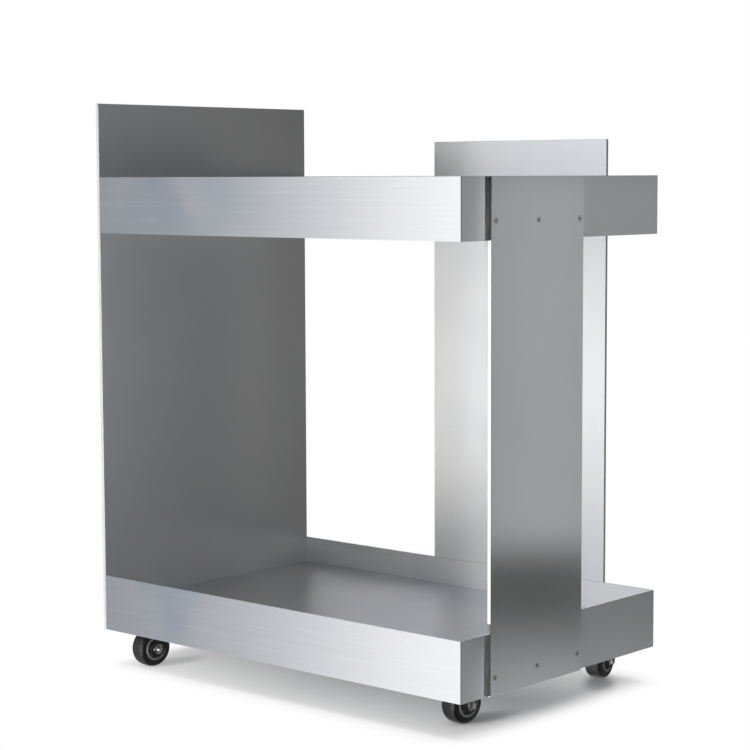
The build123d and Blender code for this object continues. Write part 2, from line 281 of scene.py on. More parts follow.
def smooth_step(tree, value, start, end, low=0.0, high=1.0):
    """Low up to start, high from end, and a smooth way between."""
    return ramped(tree, value, start, end, low, high, kind="SMOOTHSTEP")


def within(tree, value, start, full, still, end):
    """1 from full to still, and smoothly down to 0 at start and end."""
    rise, fall = smooth_step(tree, value, start, full), smooth_step(tree, value, end, still)
    return calculate(tree, "MULTIPLY", rise, fall)


def noise(tree, place, scale, detail, roughness=0.5, distortion=0.0):
    """The grey value of a noise texture."""
    inputs = {
        "Vector": place,
        "Scale": scale,
        "Detail": detail,
        "Roughness": roughness,
        "Distortion": distortion,
    }
    return add_node(tree, "ShaderNodeTexNoise", inputs).outputs["Fac"]


def mixed(tree, kind, factor, first, second):
    """A colour (RGBA) or value (FLOAT) between two of them."""
    inputs = {"Factor": factor, "A": first, "B": second}
    return add_node(tree, "ShaderNodeMix", inputs, data_type=kind).outputs["Result"]


def dented(tree, height, strength, depth):
    """The normals of a surface with dents of that depth."""
    inputs = {"Height": height, "Strength": strength, "Distance": depth}
    return add_node(tree, "ShaderNodeBump", inputs).outputs["Normal"]


def new_group(name, kind, inputs, outputs):
    """A node group with named sockets, with the sockets that it is given and those it fills."""
    group = bpy.data.node_groups.new(name, kind)
    for label, socket_kind, default in inputs:
        socket = group.interface.new_socket(label, in_out="INPUT", socket_type=socket_kind)
        if default is not None:
            socket.default_value = default
    for label, socket_kind in outputs:
        group.interface.new_socket(label, in_out="OUTPUT", socket_type=socket_kind)
    given, result = group.nodes.new("NodeGroupInput"), group.nodes.new("NodeGroupOutput")
    return group, given.outputs, result.inputs


def new_material(name):
    """A material with nothing in its tree."""
    material = bpy.data.materials.new(name)
    material.use_nodes = True
    material.node_tree.nodes.clear()
    return material, material.node_tree


def principled(tree, inputs):
    """The Principled shader with those inputs, joined to the material's output."""
    shader = add_node(tree, "ShaderNodeBsdfPrincipled", inputs)
    add_node(tree, "ShaderNodeOutputMaterial", {"Surface": shader.outputs["BSDF"]})


def rgba(colour):
    """A colour as four numbers."""
    return (*colour, 1.0)


def dress(material, *nodes):
    """Gives those CAD nodes that material."""
    for name in nodes:
        frame["nodes"][name].material_slots[0].material = material


def new_object(name, data):
    """An object of the scene with that data."""
    made = bpy.data.objects.new(name, data)
    bpy.context.scene.collection.objects.link(made)
    return made


FINISH_OUTPUTS = (
    ("Colour", "NodeSocketColor"),
    ("Roughness", "NodeSocketFloat"),
    ("Height", "NodeSocketFloat"),
)
# Brush lines are fine ones, which have this share of the pattern, with broad ones under them.
# The shift keeps a flat sheet off the planes where the noise is weakest.
FINE_SHARE = 0.6
BROAD_SCALE = 0.2
LINE_SHIFT = (0.5, 0.5, 0.5)
# The highest fine lines are scratches: the levels where one starts and is full, and how far it
# stands out.
SCRATCH_LEVELS = (0.6, 0.76)
SCRATCH_SHARE = 0.4
# The levels where a handling mark starts and is full, and how far such marks change the roughness.
SMUDGE_LEVELS = (0.4, 0.7)
SMUDGE_ROUGHNESS = 0.4


def brushed_group():
    """Brush lines that run one way, under cloudy handling marks with a painted blue reflection."""
    found = bpy.data.node_groups.get("Brushed Finish")
    if found:
        return found
    group, given, result = new_group(
        "Brushed Finish",
        "ShaderNodeTree",
        (
            ("Coordinates", "NodeSocketVector", None),
            ("Lines per Metre", "NodeSocketVector", (6.0, 1400.0, 1400.0)),
            ("Smudges per Metre", "NodeSocketFloat", 9.0),
            ("Lines", "NodeSocketFloat", 0.1),
            ("Smudges", "NodeSocketFloat", 0.1),
            ("Colour", "NodeSocketColor", (0.8, 0.8, 0.8, 1.0)),
            ("Smudge and Reflection Colour", "NodeSocketColor", (0.7, 0.75, 0.8, 1.0)),
            ("Roughness", "NodeSocketFloat", 0.3),
        ),
        FINISH_OUTPUTS,
    )
    place = given["Coordinates"]
    drawn_out = measure(group, "MULTIPLY_ADD", place, given["Lines per Metre"], LINE_SHIFT)[0]
    fine = noise(group, drawn_out, 1.0, detail=1.0)
    broad = noise(group, drawn_out, BROAD_SCALE, detail=1.0)
    clouds = noise(
        group, place, given["Smudges per Metre"], detail=1.5, roughness=0.45, distortion=0.3
    )
    under = calculate(group, "MULTIPLY", broad, 1.0 - FINE_SHARE)
    lines = calculate(group, "MULTIPLY_ADD", fine, FINE_SHARE, under)
    smudge_and_reflection_mask = smooth_step(group, clouds, *SMUDGE_LEVELS)
    smudge_and_reflection_share = calculate(group, "MULTIPLY", smudge_and_reflection_mask, given["Smudges"])
    # Marks pull the colour to a darker blue: real smudges, their blue a painted reflection.
    smudge_and_reflection_colour = mixed(group, "RGBA", smudge_and_reflection_share, given["Colour"], given["Smudge and Reflection Colour"])
    highest = smooth_step(group, fine, *SCRATCH_LEVELS)
    scratches = calculate(group, "MULTIPLY", highest, SCRATCH_SHARE)
    marked = calculate(group, "ADD", calculate(group, "SUBTRACT", lines, 0.5), scratches)
    lined = calculate(group, "MULTIPLY_ADD", marked, given["Lines"], 1.0)
    patchy = calculate(group, "MULTIPLY_ADD", clouds, SMUDGE_ROUGHNESS, -SMUDGE_ROUGHNESS / 2)
    uneven = calculate(group, "MULTIPLY_ADD", patchy, given["Smudges"], lined)
    scaled = {0: smudge_and_reflection_colour, "Scale": lined}
    coloured = result_of(group, "ShaderNodeVectorMath", scaled, operation="SCALE")
    feed(group, result["Colour"], coloured)
    feed(group, result["Roughness"], calculate(group, "MULTIPLY", given["Roughness"], uneven))
    feed(group, result["Height"], lines)
    return group


# Brush lines are cut this deep, and this strongly for each unit of their contrast.
SCORE_DEPTH = 0.0004
SCORE_STRENGTH = 0.12
# How squarely a face looks along the cut axis where a cut edge starts and where it is full.
CUT_FACING = (0.3, 0.6)
# Near-white cut edges: bare cut metal, made brighter as a painted highlight along the edges.
CUT_EDGE_AND_HIGHLIGHT_COLOUR = (0.97, 0.97, 0.97, 1.0)


def brushed_metal(
    name,
    sheet,
    grain,
    level=False,
    shade=1.0,
    roughness=1.0,
    drawn=0.9,
    lines=0.12,
    smudges=0.25,
    push_end=None,
    cut_axis=None,
    cut_roughness=0.62,
):
    """Brushed aluminium with lines along the grain axis, and cut edges that face the cut axis.

    Shade and roughness are times the sheet's own, and drawn is how far the lines stretch a
    reflection. A push end is where smudges start and where they are full, and the rest is clean.

    A tangent turned about Z lies level on every upright face, which is across upright lines. Level
    lines need it turned by a quarter, and on a level pan it is turned about Y.
    """
    material, tree = new_material(name)
    place = add_node(tree, "ShaderNodeTexCoord").outputs
    across, along = 1.0 / sheet.line_width, 1.0 / sheet.line_length
    smudge_and_reflection_mask = smudges
    if push_end:
        pushed = smooth_step(tree, axes_of(tree, place["Object"])["X"], *push_end)
        smudge_and_reflection_mask = calculate(tree, "MULTIPLY", pushed, smudges)
    finish = add_node(
        tree,
        "ShaderNodeGroup",
        {
            "Coordinates": place["Object"],
            "Lines per Metre": [along if axis == grain else across for axis in "XYZ"],
            "Smudges per Metre": 1.0 / sheet.smudge_size,
            "Lines": lines,
            "Smudges": smudge_and_reflection_mask,
            "Colour": rgba(shade * part for part in sheet.colour),
            "Smudge and Reflection Colour": rgba(shade * part for part in sheet.smudge_and_reflection_tint),
            "Roughness": sheet.roughness * roughness,
        },
        node_tree=brushed_group(),
    ).outputs
    colour, spread = finish["Colour"], finish["Roughness"]
    if cut_axis:
        # Cut edges turn near white: bare metal with a painted highlight.
        facing = calculate(tree, "ABSOLUTE", axes_of(tree, place["Normal"])[cut_axis])
        cut = smooth_step(tree, facing, *CUT_FACING)
        colour = mixed(tree, "RGBA", cut, colour, CUT_EDGE_AND_HIGHLIGHT_COLOUR)
        spread = mixed(tree, "FLOAT", cut, spread, cut_roughness)
    axis = "Y" if level else "Z"
    tangent = result_of(tree, "ShaderNodeTangent", direction_type="RADIAL", axis=axis)
    principled(
        tree,
        {
            "Base Color": colour,
            "Metallic": 1.0,
            "Roughness": spread,
            "Anisotropic": drawn,
            "Anisotropic Rotation": 0.0 if grain == "Z" else 0.25,
            "Tangent": tangent,
            "Normal": dented(tree, finish["Height"], SCORE_STRENGTH * lines, SCORE_DEPTH),
        },
    )
    return material


# A lighter grey, which on a tyre's tread is partly a painted sheen.
DUST_AND_SHEEN_COLOUR = (0.36, 0.36, 0.35, 1.0)
PATCHES_PER_METRE = 380.0
# The levels of the patches between which dust gathers, and those between which the roughness goes
# from its least to its most.
DUST_LEVELS = (0.25, 0.85)
PATCH_LEVELS = (0.3, 0.7)
PATCH_ROUGHNESS = (0.88, 1.14)
# Pits of a moulded surface.
PIT_DEPTH = 0.0001
PIT_STRENGTH = 0.15
# How squarely a tyre's face looks along the axle where its dust, partly a painted sheen, starts
# and where it is full.
TREAD_FACING = (0.75, 0.3)


def moulded_group():
    """Fine grain of a moulded or coated surface, with a little dust.

    On a tyre's tread that dust is partly a painted sheen.
    """
    found = bpy.data.node_groups.get("Moulded Grain")
    if found:
        return found
    group, given, result = new_group(
        "Moulded Grain",
        "ShaderNodeTree",
        (
            ("Coordinates", "NodeSocketVector", None),
            ("Grains per Metre", "NodeSocketFloat", 2500.0),
            ("Colour", "NodeSocketColor", (0.02, 0.02, 0.02, 1.0)),
            ("Dust and Sheen Colour", "NodeSocketColor", DUST_AND_SHEEN_COLOUR),
            ("Dust", "NodeSocketFloat", 0.1),
            ("Roughness", "NodeSocketFloat", 0.5),
        ),
        FINISH_OUTPUTS,
    )
    place = given["Coordinates"]
    grain = noise(group, place, given["Grains per Metre"], detail=2.0)
    patches = noise(group, place, PATCHES_PER_METRE, detail=3.0)
    dust_and_sheen = calculate(group, "MULTIPLY", ramped(group, patches, *DUST_LEVELS), given["Dust"])
    uneven = ramped(group, patches, *PATCH_LEVELS, *PATCH_ROUGHNESS)
    coloured = mixed(group, "RGBA", dust_and_sheen, given["Colour"], given["Dust and Sheen Colour"])
    feed(group, result["Colour"], coloured)
    feed(group, result["Roughness"], calculate(group, "MULTIPLY", given["Roughness"], uneven))
    feed(group, result["Height"], grain)
    return group


def moulded(name, colour, roughness, grains=2500.0, dust=0.1, metallic=0.0, axle=None):
    """A moulded, coated or plated surface. On a tyre with that axle, only the tread is dusty.

    That dust on the tread is partly a painted sheen.
    """
    material, tree = new_material(name)
    place = add_node(tree, "ShaderNodeTexCoord").outputs
    dust_and_sheen = dust
    # A tyre's dust lies only on the tread, where it is partly a painted sheen.
    if axle is not None:
        sideways = measure(tree, "DOT_PRODUCT", place["Normal"], axle)["Value"]
        tread = smooth_step(tree, calculate(tree, "ABSOLUTE", sideways), *TREAD_FACING)
        dust_and_sheen = calculate(tree, "MULTIPLY", tread, dust)
    finish = add_node(
        tree,
        "ShaderNodeGroup",
        {
            "Coordinates": place["Object"],
            "Grains per Metre": grains,
            "Colour": rgba(colour),
            "Dust": dust_and_sheen,
            "Roughness": roughness,
        },
        node_tree=moulded_group(),
    ).outputs
    principled(
        tree,
        {
            "Base Color": finish["Colour"],
            "Metallic": metallic,
            "Roughness": finish["Roughness"],
            "Normal": dented(tree, finish["Height"], PIT_STRENGTH, PIT_DEPTH),
        },
    )
    return material


def zinc_plate(fasteners):
    """The plated finish that bolts, nuts, kingpins and sleeves share."""
    found = bpy.data.materials.get("Zinc Plate")
    if found:
        return found
    return moulded(
        "Zinc Plate", fasteners.zinc, roughness=0.18, grains=900.0, dust=0.05, metallic=1.0
    )


# Turned fasteners. A ring of a turned section is a radius, a depth below the top, whether it is a
# hexagon, and how steeply a hexagon's corners drop. Radii and depths are sums of named sizes, each
# times a factor.
TURNED_SIDES = 24
HEXAGON_TURN = math.tau / 6
CORNER_DROP = math.tan(math.radians(30.0))
# Depth of a thread, in pitches.
THREAD_DEPTH = 0.55
# Points nearer than this are one, and an edge that bends by more radians than this stays crisp.
SEAM_DISTANCE = 0.000004
CRISP_BEND = 0.45


def ring(radius, depth, hexagon=0.0, drop=0.0):
    """One ring of a turned section."""
    return radius, depth, hexagon, drop


def thread_rings(ridges):
    """Ridges of a thread that ends at the tail."""
    crest, root = {"Thread": 0.5}, {"Thread": 0.5, "Pitch": -THREAD_DEPTH}
    rings = [ring(crest, {"Length": 1.0, "Pitch": -(ridges + 0.6)})]
    for ridge in range(ridges, 0, -1):
        rings.append(ring(root, {"Length": 1.0, "Pitch": -(ridge + 0.1)}))
        rings.append(ring(crest, {"Length": 1.0, "Pitch": -(ridge - 0.4)}))
    return [*rings, ring(root, {"Length": 1.0}), ring({}, {"Length": 1.0})]


FLANGE_RINGS = (
    ring({"Width": 0.5}, {"Height": 1.0, "Flange Height": -1.0}, 1.0),
    ring({"Flange": 0.47}, {"Height": 1.0, "Flange Height": -0.7}),
    ring({"Flange": 0.5}, {"Height": 1.0, "Flange Height": -0.45}),
    ring({"Flange": 0.5}, {"Height": 1.0}),
)
SCREW_RINGS = (
    ring({}, {"Socket Depth": 1.0}),
    ring({"Socket": 0.5}, {"Socket Depth": 1.0}, 1.0),
    ring({"Socket": 0.5}, {"Break": 1.0}, 1.0),
    ring({"Socket": 0.58, "Break": 1.0}, {}),
    ring({"Head": 0.5, "Break": -1.0}, {}),
    ring({"Head": 0.5}, {"Break": 1.0}),
    ring({"Thread": 0.5}, {"Head": 0.5, "Thread": -0.5}),
    *thread_rings(7),
)
BOLT_RINGS = (
    ring({}, {}),
    ring({"Width": 0.47}, {}),
    ring({"Width": 0.5}, {"Break": 0.5}, 1.0, CORNER_DROP),
    *FLANGE_RINGS,
    ring({"Thread": 0.5}, {"Height": 1.0}),
    *thread_rings(3),
)
NUT_RINGS = (
    ring({"Thread": 0.5}, {"Break": 1.0}),
    ring({"Thread": 0.5, "Break": 1.0}, {}),
    ring({"Collar": 0.5, "Break": -1.0}, {}),
    ring({"Collar": 0.5}, {"Break": 1.0}),
    ring({"Collar": 0.5}, {"Collar Height": 1.0}),
    ring({"Width": 0.47}, {"Collar Height": 1.0}),
    ring({"Width": 0.5}, {"Collar Height": 1.0, "Break": 0.5}, 1.0, CORNER_DROP),
    *FLANGE_RINGS,
    ring({"Thread": 0.5, "Break": 1.0}, {"Height": 1.0}),
    ring({"Thread": 0.5}, {"Height": 1.0, "Break": -1.0}),
    ring({"Thread": 0.5}, {"Break": 1.0}),
)


def summed(tree, given, terms):
    """The sum of named sizes, each times its factor."""
    total = 0.0
    for label, factor in terms.items():
        total = calculate(tree, "MULTIPLY_ADD", given[label], factor, total)
    return total


def by_ring(tree, number, values):
    """The value of the ring with that number."""
    switch = add_node(tree, "GeometryNodeIndexSwitch", data_type="FLOAT")
    for _ in values[2:]:
        switch.index_switch_items.new()
    feed(tree, switch.inputs["Index"], number)
    for socket, value in zip(switch.inputs[1:], values):
        feed(tree, socket, value)
    return switch.outputs[0]


def turned_section(tree, given, rings):
    """The rings of a section turned about Z, with its top at the origin."""
    last = len(rings) - 1
    grid = result_of(
        tree,
        "GeometryNodeMeshGrid",
        {
            "Size X": float(last),
            "Size Y": 1.0,
            "Vertices X": len(rings),
            "Vertices Y": TURNED_SIDES + 1,
        },
    )
    flat = axes_of(tree, result_of(tree, "GeometryNodeInputPosition"))
    number = calculate(tree, "ROUND", calculate(tree, "ADD", flat["X"], last / 2))
    turn = calculate(tree, "MULTIPLY", flat["Y"], math.tau)
    along_flat = calculate(tree, "FLOORED_MODULO", turn, HEXAGON_TURN)
    off_middle = calculate(tree, "SUBTRACT", along_flat, HEXAGON_TURN / 2)
    stretch = calculate(tree, "DIVIDE", 1.0, calculate(tree, "COSINE", off_middle))
    corner = calculate(tree, "SUBTRACT", stretch, 1.0)
    inner = by_ring(tree, number, [summed(tree, given, radius) for radius, *_ in rings])
    depth = by_ring(tree, number, [summed(tree, given, depth) for _, depth, *_ in rings])
    hexagon = by_ring(tree, number, [hexagon for *_, hexagon, _ in rings])
    drop = by_ring(tree, number, [drop for *_, drop in rings])
    excess = calculate(tree, "MULTIPLY", calculate(tree, "MULTIPLY", inner, hexagon), corner)
    radius = calculate(tree, "ADD", inner, excess)
    below = calculate(tree, "MULTIPLY_ADD", excess, drop, depth)
    place = result_of(
        tree,
        "ShaderNodeCombineXYZ",
        {
            "X": calculate(tree, "MULTIPLY", radius, calculate(tree, "COSINE", turn)),
            "Y": calculate(tree, "MULTIPLY", radius, calculate(tree, "SINE", turn)),
            "Z": calculate(tree, "MULTIPLY", below, -1.0),
        },
    )
    shaped = result_of(tree, "GeometryNodeSetPosition", {"Geometry": grid, "Position": place})
    closing = {"Geometry": shaped, "Distance": SEAM_DISTANCE}
    closed = result_of(tree, "GeometryNodeMergeByDistance", closing)
    smoothing = {"Geometry": closed, "Shade Smooth": True}
    smooth = result_of(tree, "GeometryNodeSetShadeSmooth", smoothing, domain="FACE")
    bend = add_node(tree, "GeometryNodeInputMeshEdgeAngle").outputs["Unsigned Angle"]
    sharp = calculate(tree, "GREATER_THAN", bend, CRISP_BEND)
    sharpening = {"Geometry": smooth, "Selection": sharp, "Shade Smooth": False}
    return result_of(tree, "GeometryNodeSetShadeSmooth", sharpening, domain="EDGE")


def rolled_upright(tree, seed):
    """A rotation for each point, with Z along its aim and rolled about it at random."""
    named = {"Name": "aim"}
    aim = result_of(tree, "GeometryNodeInputNamedAttribute", named, data_type="FLOAT_VECTOR")
    upright = result_of(tree, "FunctionNodeAlignRotationToVector", {"Vector": aim}, axis="Z")
    drawn = {"Max": math.tau, "Seed": seed}
    outputs = add_node(tree, "FunctionNodeRandomValue", drawn, data_type="FLOAT").outputs
    angle = next(output for output in outputs if output.enabled)
    roll = result_of(tree, "FunctionNodeAxisAngleToRotation", {"Axis": UP, "Angle": angle})
    both = {"Rotation": upright, "Rotate By": roll}
    return result_of(tree, "FunctionNodeRotateRotation", both, rotation_space="LOCAL")


def turned_tree(name, rings):
    """A tree that turns a section on each point of a mesh, its top towards the point's aim."""
    found = bpy.data.node_groups.get(name)
    if found:
        return found
    used = (label for radius, depth, *_ in rings for label in (*radius, *depth))
    tree, given, result = new_group(
        name,
        "GeometryNodeTree",
        (
            ("Geometry", "NodeSocketGeometry", None),
            *((label, "NodeSocketFloat", 0.001) for label in dict.fromkeys(used)),
            ("Material", "NodeSocketMaterial", None),
            ("Seed", "NodeSocketInt", 0),
        ),
        (("Geometry", "NodeSocketGeometry"),),
    )
    copies = result_of(
        tree,
        "GeometryNodeInstanceOnPoints",
        {
            "Points": given["Geometry"],
            "Instance": turned_section(tree, given, rings),
            "Rotation": rolled_upright(tree, given["Seed"]),
        },
    )
    real = result_of(tree, "GeometryNodeRealizeInstances", {"Geometry": copies})
    finish = {"Geometry": real, "Material": given["Material"]}
    feed(tree, result["Geometry"], result_of(tree, "GeometryNodeSetMaterial", finish))
    return tree


def turned(name, rings, solids, sizes, material, seed):
    """A mesh of turned fasteners in the places of those solids."""
    tree = turned_tree(name, rings)
    points = bpy.data.meshes.new(name)
    points.from_pydata([solid.top for solid in solids], [], [])
    aims = points.attributes.new("aim", "FLOAT_VECTOR", "POINT")
    aims.data.foreach_set("vector", [part for solid in solids for part in solid.aim])
    holder = new_object(name, points)
    modifier = holder.modifiers.new(name, "NODES")
    modifier.node_group = tree
    values = {**sizes, "Material": material, "Seed": seed}
    for item in tree.interface.items_tree:
        if item.in_out == "INPUT" and item.name in values:
            modifier[item.identifier] = values[item.name]
    evaluated = holder.evaluated_get(bpy.context.evaluated_depsgraph_get())
    mesh = bpy.data.meshes.new_from_object(evaluated)
    bpy.data.objects.remove(holder)
    return mesh


def add_piece(name, meshes, material, body, slot, *nodes):
    """One piece from several meshes, which rides on a body and stands for those nodes."""
    joined = bmesh.new()
    for part in meshes:
        joined.from_mesh(part)
    mesh = bpy.data.meshes.new(name)
    joined.to_mesh(mesh)
    joined.free()
    mesh.materials.clear()
    mesh.materials.append(material)
    made = new_object(name, mesh)
    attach(made, body)
    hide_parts(*nodes)


class Solid:
    """One solid of a CAD node, measured along the way that its top faces.

    Without an aim, that is its longest or shortest way, away from the trolley's middle.
    """

    def __init__(self, points, aim=None, middle=None, long=True):
        low = Vector(map(min, zip(*points)))
        high = Vector(map(max, zip(*points)))
        middle = middle or (low + high) / 2
        if aim is None:
            size = high - low
            axis = (max if long else min)(range(3), key=lambda part: size[part])
            aim = Vector([math.copysign(part == axis, middle[part]) for part in range(3)])
        reaches = [point.dot(aim) for point in points]
        off_axis = [point - middle - aim * (point - middle).dot(aim) for point in points]
        self.aim = aim
        self.length = max(reaches) - min(reaches)
        self.top = middle + aim * (max(reaches) - middle.dot(aim))
        self.width = max(offset.length for offset in off_axis) * 2


# Points of a CAD mesh nearer than this are one.
WELD_DISTANCE = 0.000001


def loose_points(node):
    """The points of each separate solid of a CAD node."""
    mesh = bmesh.new()
    mesh.from_mesh(frame["nodes"][node].data)
    bmesh.ops.remove_doubles(mesh, verts=mesh.verts, dist=WELD_DISTANCE)
    seen, solids = set(), []
    for start in mesh.verts:
        if start in seen:
            continue
        seen.add(start)
        found = [start]
        for point in found:
            for edge in point.link_edges:
                other = edge.other_vert(point)
                if other not in seen:
                    seen.add(other)
                    found.append(other)
        solids.append([point.co.copy() for point in found])
    mesh.free()
    return solids


# The least broken edge of a fastener, the height of an axle nut's collar, and the first axle nut's
# seed.
EDGE_BREAK = 0.0001
AXLE_COLLAR = 0.0011
AXLE_NUT_SEED = 7


def plain_sizes(width, thread, pitch):
    """Sizes of a hexagon bolt or nut with only a washer face."""
    return {
        "Width": width,
        "Thread": thread,
        "Pitch": pitch,
        "Break": 0.12 * pitch + EDGE_BREAK,
        "Flange": 0.94 * width,
        "Flange Height": 0.0003,
        "Collar": 0.86 * width,
        "Collar Height": 0.0002,
    }


def add_bolts(name, bolts, sizes, fasteners, body, node, seed):
    """A piece of hexagon bolts in the places of a node's solids."""
    zinc = zinc_plate(fasteners)
    fitted = {**sizes, "Height": fasteners.head_height, "Length": bolts[0].length}
    mesh = turned("Hexagon Bolt", BOLT_RINGS, bolts, fitted, zinc, seed)
    add_piece(name, [mesh], zinc, body, "zinc_steel", node)


def add_nuts(name, nuts, sizes, fasteners, body, node, seed):
    """A piece of hexagon nuts in the places of a node's solids."""
    zinc = zinc_plate(fasteners)
    fitted = {**sizes, "Height": nuts[0].length}
    mesh = turned("Hexagon Nut", NUT_RINGS, nuts, fitted, zinc, seed)
    add_piece(name, [mesh], zinc, body, "zinc_steel", node)


class TROLLEY_OT_trays(bpy.types.Operator):
    """Finish the walls and pans of both trays"""

    bl_idname = "trolley.trays"
    bl_label = "Trays"

    def execute(self, context):
        sheet = context.scene.trolley_sheet
        # Smudges only towards the left end; their blue tint is a painted reflection there.
        long_wall = brushed_metal(
            "Brushed Long Wall",
            sheet,
            "X",
            roughness=1.2,
            lines=0.14,
            smudges=0.6,
            push_end=(0.1, -0.2),
        )
        end_wall = brushed_metal("Brushed End Wall", sheet, "Y", roughness=0.4, lines=0.03)
        pan = brushed_metal(
            "Brushed Pan", sheet, "X", level=True, shade=0.96, roughness=1.15, lines=0.08
        )
        dress(long_wall, *LONG_WALLS)
        dress(end_wall, *END_WALLS)
        dress(pan, *PANS)
        return {"FINISHED"}


class TROLLEY_OT_panels(bpy.types.Operator):
    """Finish the three upright panels"""

    bl_idname = "trolley.panels"
    bl_label = "Panels"

    def execute(self, context):
        sheet = context.scene.trolley_sheet
        # A darker copy of the sheet: its shade is painted shade for darker reflections.
        left = brushed_metal(
            "Brushed Left Panel",
            sheet,
            "Z",
            shade=0.92,
            roughness=1.25,
            drawn=0.0,
            lines=0.0,
            smudges=0.06,
            cut_axis="Y",
        )
        rear = brushed_metal(
            "Brushed Rear Panel", sheet, "X", roughness=1.2, lines=0.03, smudges=0.15
        )
        right = brushed_metal(
            "Brushed Right Panel",
            sheet,
            "Z",
            roughness=0.68,
            lines=0.02,
            smudges=0.08,
            cut_axis="Y",
            cut_roughness=0.1,
        )
        dress(left, "left_panel")
        dress(rear, "rear_panel")
        dress(right, "right_panel")
        return {"FINISHED"}


class TROLLEY_OT_rails(bpy.types.Operator):
    """Finish the rails that carry the castors, with their bolts and nuts"""

    bl_idname = "trolley.rails"
    bl_label = "Castor Rails"

    def execute(self, context):
        sheet, fasteners = context.scene.trolley_sheet, context.scene.trolley_fasteners
        dress(brushed_metal("Mill Rail", sheet, "Y", shade=0.85, roughness=1.3), *RAILS)
        bolts = [Solid(points, aim=DOWN) for points in loose_points("castor_bolts")]
        nuts = [Solid(points, aim=UP) for points in loose_points("castor_nuts")]
        sizes = plain_sizes(fasteners.bolt_width, fasteners.bolt_thread, fasteners.bolt_pitch)
        add_bolts("castor_bolt_set", bolts, sizes, fasteners, "trolley", "castor_bolts", seed=1)
        add_nuts("castor_nut_set", nuts, sizes, fasteners, "trolley", "castor_nuts", seed=2)
        return {"FINISHED"}


class TROLLEY_OT_screws(bpy.types.Operator):
    """Make the panel screws and their nuts"""

    bl_idname = "trolley.screws"
    bl_label = "Panel Screws"

    def execute(self, context):
        fasteners = context.scene.trolley_fasteners
        steel = moulded("Screw Steel", fasteners.steel, roughness=0.16, dust=0.03, metallic=1.0)
        screws = [Solid(points) for points in loose_points("panel_screws")]
        nuts = [Solid(points, long=False) for points in loose_points("panel_nuts")]
        sizes = {
            "Socket": fasteners.screw_socket,
            "Socket Depth": fasteners.socket_depth,
            "Thread": fasteners.screw_thread,
            "Pitch": fasteners.screw_pitch,
            "Break": EDGE_BREAK,
        }
        meshes = []
        for length in sorted({round(screw.length, 5) for screw in screws}):
            same = [screw for screw in screws if round(screw.length, 5) == length]
            fitted = {**sizes, "Head": same[0].width, "Length": same[0].length}
            seed = len(meshes)
            meshes.append(turned("Countersunk Screw", SCREW_RINGS, same, fitted, steel, seed))
        add_piece("panel_screw_set", meshes, steel, "trolley", "screw_steel", "panel_screws")
        flats = nuts[0].width * math.cos(HEXAGON_TURN / 2)
        nut_sizes = plain_sizes(flats, fasteners.screw_thread, fasteners.screw_pitch)
        add_nuts("panel_nut_set", nuts, nut_sizes, fasteners, "trolley", "panel_nuts", seed=5)
        return {"FINISHED"}


class TROLLEY_OT_castors(bpy.types.Operator):
    """Finish the four castors and make their axle bolts and nuts"""

    bl_idname = "trolley.castors"
    bl_label = "Castors"

    def execute(self, context):
        castors, fasteners = context.scene.trolley_castors, context.scene.trolley_fasteners
        black = moulded("Black Fork", castors.fork, roughness=0.38, grains=1400.0, dust=0.025)
        core = moulded("Grey Core", castors.core, roughness=0.33, dust=0.05)
        bearing = moulded("Bearing Ring", castors.bearing, roughness=0.4)
        zinc = zinc_plate(fasteners)
        sizes = {
            **plain_sizes(fasteners.bolt_width, fasteners.bolt_thread, fasteners.bolt_pitch),
            "Flange": fasteners.axle_flange,
            "Flange Height": fasteners.flange_height,
            "Collar Height": AXLE_COLLAR,
        }
        for seed, corner in enumerate(CORNERS):
            spin = JOINTS[f"{corner}_wheel_spin"]
            axle, middle = Vector(spin["axis"]), Vector(spin["pos_m"])
            # The tread's dust is partly a painted sheen.
            tyre = moulded(
                f"Tyre {corner}", castors.tyre, roughness=0.33, grains=3500.0, dust=0.12, axle=axle
            )
            dress(black, f"{corner}_fork", f"{corner}_plate")
            dress(zinc, f"{corner}_kingpin", f"{corner}_axle_sleeve")
            dress(core, f"{corner}_wheel_core")
            dress(bearing, f"{corner}_bearing_ring")
            dress(tyre, f"{corner}_tyre")
            body, bolt_node, nut_node = (
                f"{corner}_{part}" for part in ("swivel", "axle_bolt", "axle_nut")
            )
            bolt = Solid(loose_points(bolt_node)[0], aim=-axle, middle=middle)
            nut = Solid(loose_points(nut_node)[0], aim=axle, middle=middle)
            add_bolts(f"{corner}_flange_bolt", [bolt], sizes, fasteners, body, bolt_node, seed)
            nut_seed = seed + AXLE_NUT_SEED
            add_nuts(f"{corner}_flange_nut", [nut], sizes, fasteners, body, nut_node, nut_seed)
        return {"FINISHED"}


# The side that most of the fill comes from, and how strong it is on the far and the near side.
FILL_SIDE = Vector((-0.55, -0.8, 0.2))
FILL_RANGE = (0.2, 1.8)
# How far inside the trolley's outline its shadow starts to fade, over what distance it fades, and
# how much white shows through it in the middle, at its front and back, and over that at its left.
# That white is painted light, which lightens the real shadow more towards the front, back and
# left.
SHADOW_INSETS = (0.045, 0.025)
SHADOW_FADE = 0.065
SHADOW_SHARES = (0.1, 0.44)
SHADOW_LEFT = 0.2
# The shadow at each wheel: which way it falls in the front and the rear row, how far its middle is
# from the wheel, how far it reaches along and across that way, where in that reach it starts to
# fade, and how much of the white is left in it at either end of the trolley. Its shape is a
# painted shadow: the white is taken off in that patch, so the lit floor's shading shows there.
WHEEL_SHADOW_WAYS = {"front": Vector((0.17, 0.98, 0.0)), "rear": Vector((0.58, -0.81, 0.0))}
WHEEL_SHADOW_SHIFT = 0.038
WHEEL_SHADOW_REACH = (0.07, 0.03, 1.0)
WHEEL_SHADOW_CORE = 0.25
WHEEL_SHADOW_SHARES = {"left": 0.6, "right": 0.06}


